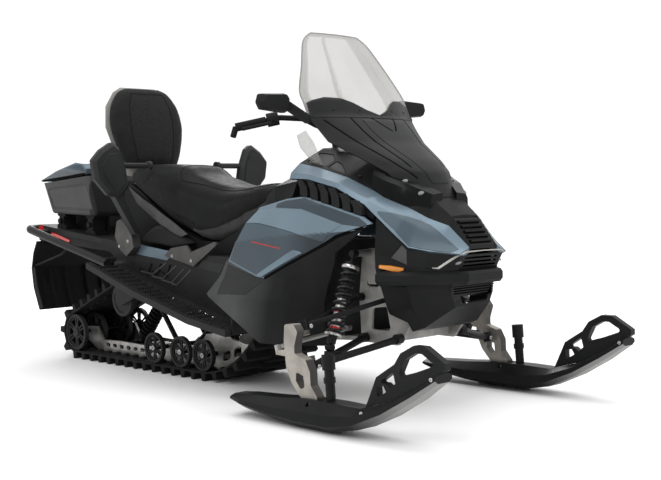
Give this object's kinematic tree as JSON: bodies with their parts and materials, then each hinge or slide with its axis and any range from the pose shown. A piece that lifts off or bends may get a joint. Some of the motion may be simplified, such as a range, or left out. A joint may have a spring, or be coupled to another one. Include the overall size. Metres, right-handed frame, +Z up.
{
  "type": "snowmobile",
  "caption": "Two-up touring snowmobile: steered skis on double arms, long lugged track in a tunnel, tall windshield, stepped seat with backrest and hand guards, lidded trunk.",
  "frame": {"origin": "on the floor, midway along the length, on the middle plane", "axes": "+X forward, +Y to the rider's left, +Z up"},
  "size_m": [3.06, 1.217, 1.438],
  "materials": {
    "rubber_black": "matte moulded rubber",
    "alloy": "satin cast and sheet aluminium",
    "steel_black": "black powder coat",
    "tunnel_dark": "dark textured coat",
    "plastic_black": "grained black plastic",
    "plastic_grey": "grained dark grey plastic",
    "gloss_black": "gloss black plastic",
    "paint_blue": "blue grey metallic",
    "clear_sheet": "clear polycarbonate",
    "lamp_lens": "clear lamp lens",
    "lamp_red": "red lens",
    "seat_cover": "charcoal grained cover",
    "seat_trim": "grey trim",
    "cast_beige": "warm cast aluminium",
    "bar_steel": "black coat",
    "wear_steel": "worn steel",
    "engine_mass": null,
    "mirror_black": "black housing"
  },
  "bodies": {
    "chassis": {"backrest": "seat_cover", "backrest_shell": "seat_trim", "belly_pan": "plastic_black", "bulkhead": "alloy", "column_bracket": "steel_black", "console": "plastic_black", "drive_axle": "steel_black", "engine_block": "engine_mass", "front_arms": "steel_black", "front_bumper": "plastic_black", "front_shocks": "steel_black", "gauge": "plastic_grey", "hand_guards": "plastic_grey", "headlights": "lamp_lens", "hood_blades": "paint_blue", "hood_cowl": "plastic_black", "idler_wheels": "plastic_black", "lower_panels": "plastic_grey", "mirrors": "mirror_black", "nose_grille": "gloss_black", "nose_shell": "plastic_black", "rear_bumper": "steel_black", "rear_shocks": "steel_black", "running_boards": "tunnel_dark", "seat": "seat_cover", "seat_base": "plastic_black", "side_cushions": "seat_cover", "side_panels": "paint_blue", "side_vents": "plastic_black", "slide_rails": "alloy", "snow_flap": "plastic_black", "suspension_arms": "steel_black", "tail_lamps": "lamp_red", "tie_rods": "steel_black", "track": "rubber_black", "trunk": "plastic_grey", "trunk_fittings": "plastic_black", "tunnel": "tunnel_dark", "tunnel_brackets": "alloy", "windshield": "clear_sheet", "windshield_fairing": "plastic_grey"},
    "steering_bar": {"handlebar": "bar_steel", "grips": "rubber_black", "bar_controls": "plastic_black"},
    "ski_right_body": {"ski_right": "plastic_black", "ski_runner_right": "wear_steel", "ski_fittings_right": "plastic_black", "spindle_right": "cast_beige"},
    "ski_left_body": {"ski_left": "plastic_black", "ski_runner_left": "wear_steel", "ski_fittings_left": "plastic_black", "spindle_left": "cast_beige"},
    "trunk_lid_body": {"trunk_lid": "paint_blue"}
  },
  "joints": [
    {"name": "handlebar_turn", "type": "hinge", "parent": "chassis", "child": "steering_bar", "pos_m": [0.5, 0, 1.045], "axis": [-0.1736, 0, 0.9848], "range_deg": [-24, 24]},
    {"name": "ski_right_steer", "type": "hinge", "parent": "chassis", "child": "ski_right_body", "pos_m": [0.876, -0.497, 0.205], "axis": [-0.262, 0, 0.9651], "range_deg": [-27, 27]},
    {"name": "ski_left_steer", "type": "hinge", "parent": "chassis", "child": "ski_left_body", "pos_m": [0.876, 0.497, 0.205], "axis": [-0.262, 0, 0.9651], "range_deg": [-27, 27]},
    {"name": "trunk_lid_open", "type": "hinge", "parent": "chassis", "child": "trunk_lid_body", "pos_m": [-0.99, 0, 0.927], "axis": [0, 1, 0], "range_deg": [0, 75]}
  ],
  "couplings": [
    {"joint": "ski_right_steer", "follows": "handlebar_turn", "ratio": 1.1},
    {"joint": "ski_left_steer", "follows": "handlebar_turn", "ratio": 1.1}
  ]
}
